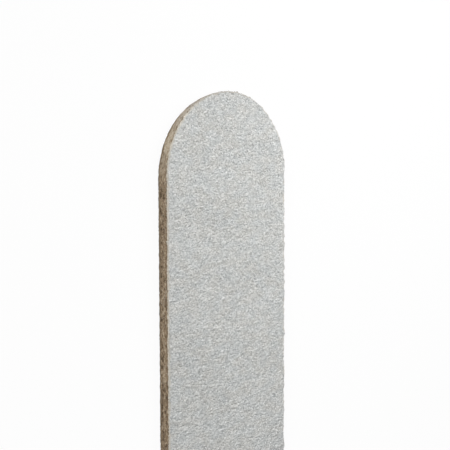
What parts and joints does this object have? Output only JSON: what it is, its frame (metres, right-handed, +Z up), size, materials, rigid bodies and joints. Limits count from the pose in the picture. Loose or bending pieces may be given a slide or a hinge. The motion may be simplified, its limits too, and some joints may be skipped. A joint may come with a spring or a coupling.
{
  "type": "nail file",
  "caption": "Straight emery-board nail file with full-round ends: a stiff fibreboard core faced with abrasive paper, fine and pale on the front, coarse and dark on the back.",
  "frame": {"origin": "middle of the plane that the back face rests on, under the middle of the blade", "axes": "+X along the length, +Y across the width, +Z up through the thickness, from the coarse back face to the fine front face. The end and the long edge that the picture shows are the -X end and the -Y edge."},
  "size_m": [0.178, 0.019, 0.0019],
  "materials": {
    "fibreboard": "cut edge of brown pulp board, matt and fibrous",
    "glue": "thin dried adhesive, dull amber",
    "backing_paper": "cream latex paper, matt, slightly fuzzy where it is cut",
    "kraft_paper": "brown kraft paper, matt, fuzzy where it is cut",
    "bond_resin": "cured resin, greyish, dull",
    "grain": "sharp grey and white mineral grains with small glints",
    "size_resin": "pale grey dry resin coat, rough and matt",
    "emery_grain": "coarse dark grey emery grains with small glints",
    "emery_resin": "dark grey-brown dry resin coat, rough and matt"
  },
  "bodies": {
    "root": {"core_board": "fibreboard", "front_glue_film": "glue", "front_backing_paper": "backing_paper", "front_bond_coat": "bond_resin", "front_grit": "grain", "front_size_coat": "size_resin", "back_glue_film": "glue", "back_backing_paper": "kraft_paper", "back_bond_coat": "bond_resin", "back_grit": "emery_grain", "back_size_coat": "emery_resin"}
  },
  "joints": []
}
